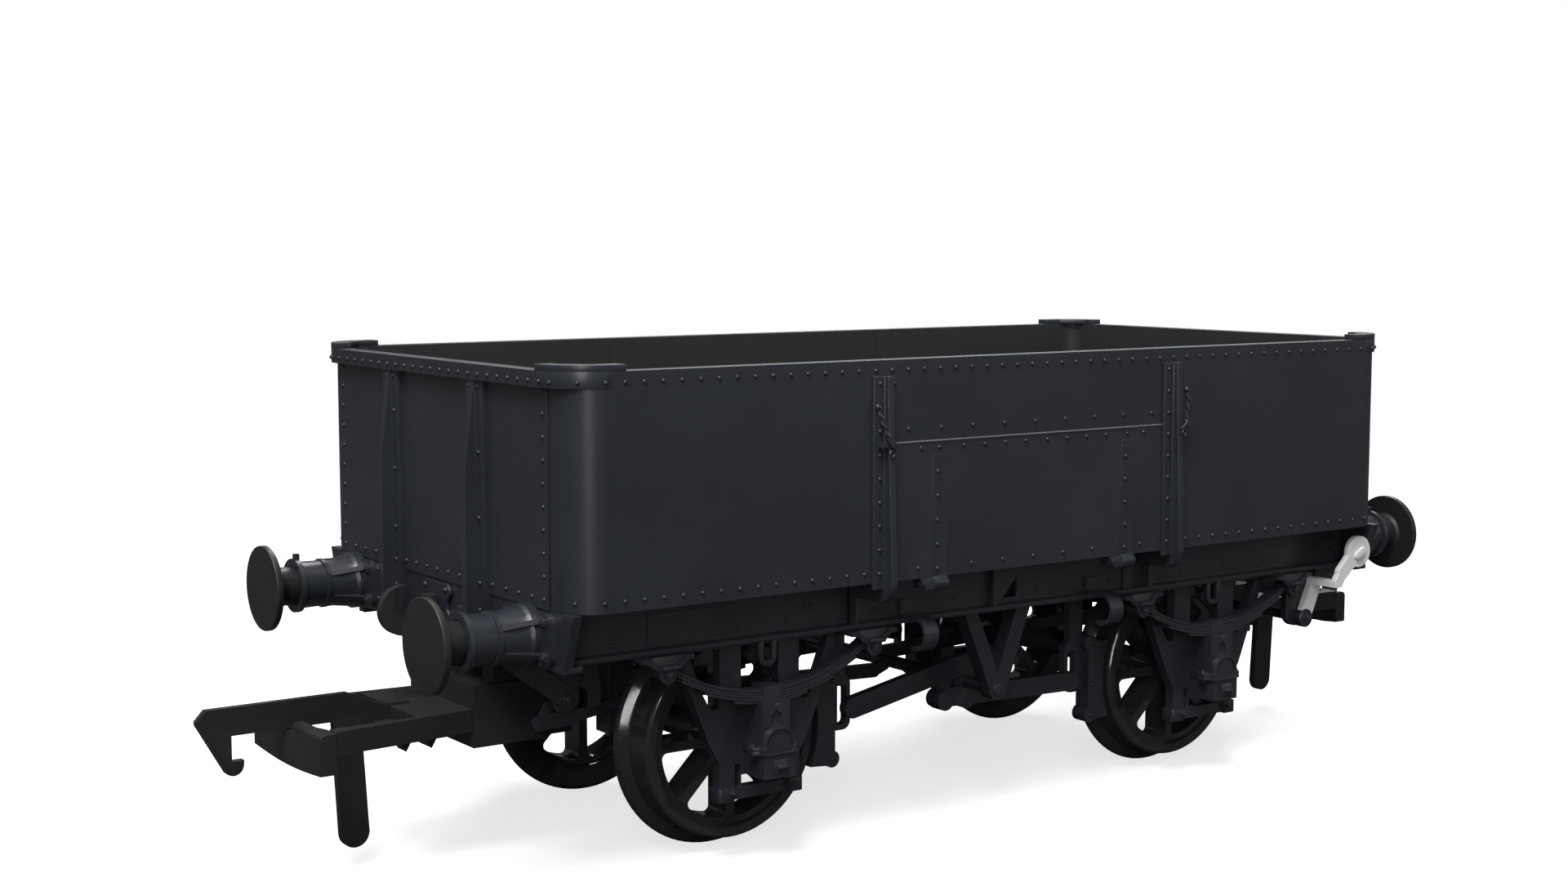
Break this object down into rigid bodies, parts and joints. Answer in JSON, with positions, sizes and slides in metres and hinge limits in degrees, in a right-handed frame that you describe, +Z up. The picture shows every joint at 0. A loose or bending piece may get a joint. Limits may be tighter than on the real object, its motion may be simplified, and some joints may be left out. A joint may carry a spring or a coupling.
{
  "type": "model mineral wagon",
  "caption": "Four-wheel open steel model railway wagon with side doors, brake gear, sprung buffers, rolling wheelsets and lifting hook couplings",
  "frame": {"origin": "middle of the wagon, level with the lowest point of the wheel flanges", "axes": "+X along the wagon towards end A, +Z up, near side is -Y"},
  "size_m": [0.0934, 0.034, 0.0294],
  "materials": {
    "grey_body": "satin dark blue-grey paint",
    "black_plastic": "matt black moulding",
    "blackened_metal": "chemically blackened, satin",
    "axle_steel": "blackened turned steel",
    "steel": "plain steel",
    "brass": "turned",
    "white_paint": "white paint on the brake levers",
    "interior_black": "matt near-black inside of the tub"
  },
  "bodies": {
    "wagon_body": {"tub_shell": "grey_body", "top_rim": "grey_body", "corner_caps": "grey_body", "end_plate_a": "grey_body", "end_plate_b": "grey_body", "end_stanchions_a": "grey_body", "end_stanchions_b": "grey_body", "side_stanchions_near": "grey_body", "side_stanchions_far": "grey_body", "drop_door_near": "grey_body", "drop_door_far": "grey_body", "door_hinges": "grey_body", "door_springs": "grey_body", "solebar_near": "grey_body", "solebar_far": "grey_body", "headstock_a": "grey_body", "headstock_b": "grey_body", "chassis_plate": "grey_body", "ballast_weight": "steel", "chassis_screws": "steel", "w_irons_near": "grey_body", "w_irons_far": "grey_body", "axleboxes_near": "grey_body", "axleboxes_far": "grey_body", "leaf_springs_near": "grey_body", "leaf_springs_far": "grey_body", "spring_shoes": "grey_body", "bearing_cups": "brass", "coupling_box_a": "black_plastic", "coupling_box_b": "black_plastic", "coupling_frame_a": "black_plastic", "coupling_frame_b": "black_plastic", "coupling_pins": "blackened_metal", "buffer_housings_a": "grey_body", "buffer_housings_b": "grey_body", "buffer_springs": "steel", "draw_hook_a": "blackened_metal", "draw_hook_b": "blackened_metal", "draw_plates": "grey_body", "v_hangers": "grey_body", "brake_cross_shaft": "grey_body", "push_rods": "grey_body", "brake_shoes": "grey_body", "brake_lever_near": "white_paint", "brake_lever_far": "white_paint", "lever_shafts": "grey_body", "ratchet_quadrants": "grey_body", "brake_pull_rods": "grey_body"},
    "wheelset_a": {"axle_a": "axle_steel", "wheel_a_near": "blackened_metal", "wheel_a_far": "blackened_metal"},
    "wheelset_b": {"axle_b": "axle_steel", "wheel_b_near": "blackened_metal", "wheel_b_far": "blackened_metal"},
    "hook_a": {"coupling_hook_a": "blackened_metal"},
    "hook_b": {"coupling_hook_b": "blackened_metal"},
    "ram_a_near": {"buffer_ram_a_near": "blackened_metal"},
    "ram_a_far": {"buffer_ram_a_far": "blackened_metal"},
    "ram_b_near": {"buffer_ram_b_near": "blackened_metal"},
    "ram_b_far": {"buffer_ram_b_far": "blackened_metal"}
  },
  "joints": [
    {"name": "wheelset_a_roll", "type": "hinge", "parent": "wagon_body", "child": "wheelset_a", "pos_m": [0.018, 0, 0.0067], "axis": [0, 1, 0], "continuous": true},
    {"name": "wheelset_b_roll", "type": "hinge", "parent": "wagon_body", "child": "wheelset_b", "pos_m": [-0.018, 0, 0.0067], "axis": [0, 1, 0], "continuous": true},
    {"name": "hook_a_lift", "type": "hinge", "parent": "wagon_body", "child": "hook_a", "pos_m": [0.0349, 0, 0.0084], "axis": [0, -1, 0], "range_deg": [0, 20]},
    {"name": "hook_b_lift", "type": "hinge", "parent": "wagon_body", "child": "hook_b", "pos_m": [-0.0349, 0, 0.0084], "axis": [0, 1, 0], "range_deg": [0, 20]},
    {"name": "buffer_a_near_press", "type": "slide", "parent": "wagon_body", "child": "ram_a_near", "axis": [-1, 0, 0], "range_m": [0, 0.001], "stiffness_N_per_m": 150, "springref_m": -0.0005},
    {"name": "buffer_a_far_press", "type": "slide", "parent": "wagon_body", "child": "ram_a_far", "axis": [-1, 0, 0], "range_m": [0, 0.001], "stiffness_N_per_m": 150, "springref_m": -0.0005},
    {"name": "buffer_b_near_press", "type": "slide", "parent": "wagon_body", "child": "ram_b_near", "axis": [1, 0, 0], "range_m": [0, 0.001], "stiffness_N_per_m": 150, "springref_m": -0.0005},
    {"name": "buffer_b_far_press", "type": "slide", "parent": "wagon_body", "child": "ram_b_far", "axis": [1, 0, 0], "range_m": [0, 0.001], "stiffness_N_per_m": 150, "springref_m": -0.0005}
  ]
}
